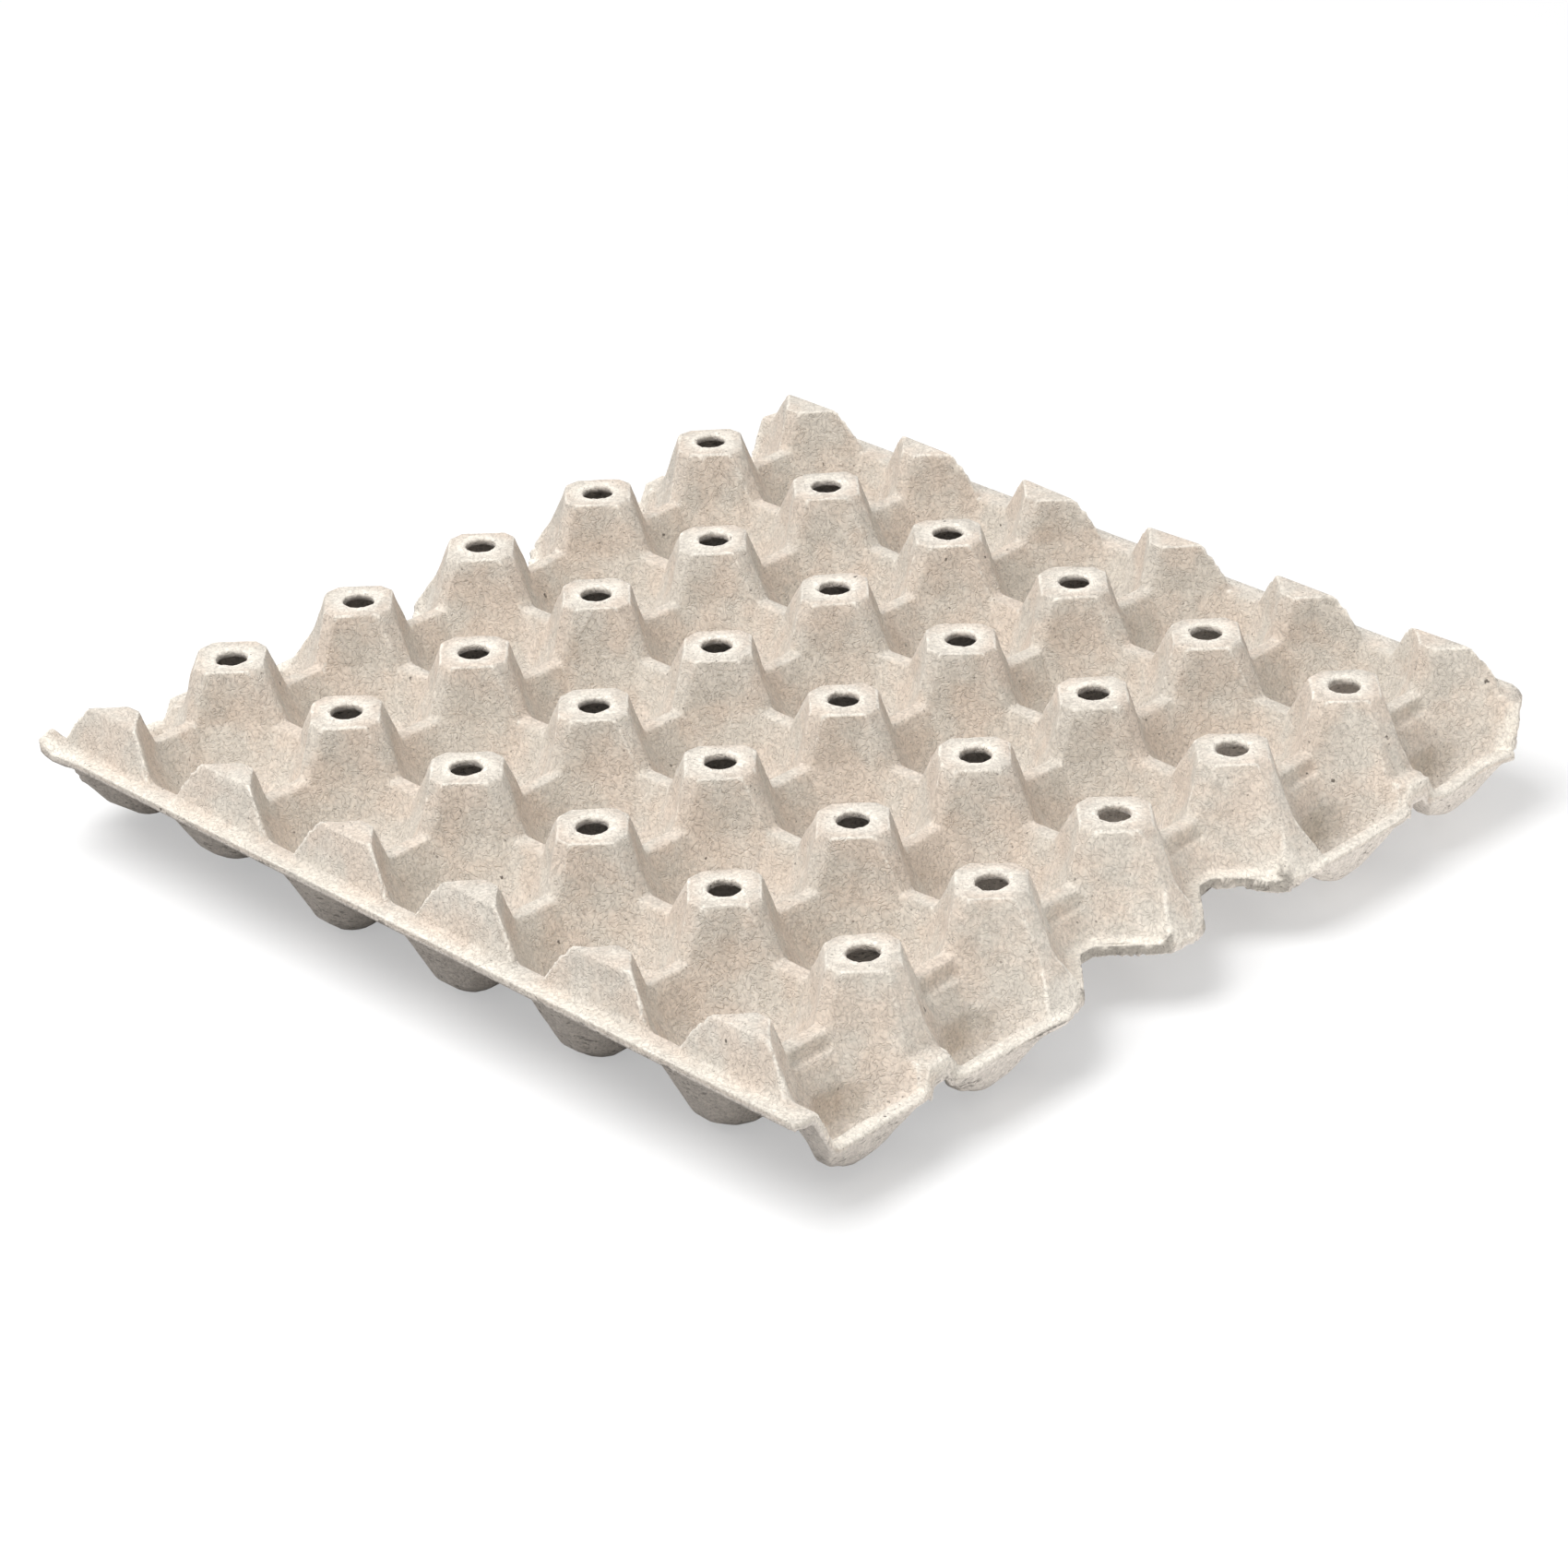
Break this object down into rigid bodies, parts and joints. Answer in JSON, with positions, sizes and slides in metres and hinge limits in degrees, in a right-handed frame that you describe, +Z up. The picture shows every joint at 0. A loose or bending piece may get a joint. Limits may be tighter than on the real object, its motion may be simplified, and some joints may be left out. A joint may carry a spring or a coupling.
{
  "type": "egg tray",
  "caption": "Square moulded-pulp tray with rows of egg cups between hollow tapered posts, a straight rim on two sides and open lips with finger notches on the ends.",
  "frame": {"origin": "on the ground, under the middle of the tray's box; the cup feet stand on Z = 0", "axes": "+Z up; +X towards the end with open lips that is nearer in the picture; +Y away from the straight rim that is nearer in the picture"},
  "size_m": [0.302, 0.2894, 0.0465],
  "materials": {
    "pulp": "matte"
  },
  "bodies": {
    "root": {"tray": "pulp"}
  },
  "joints": []
}
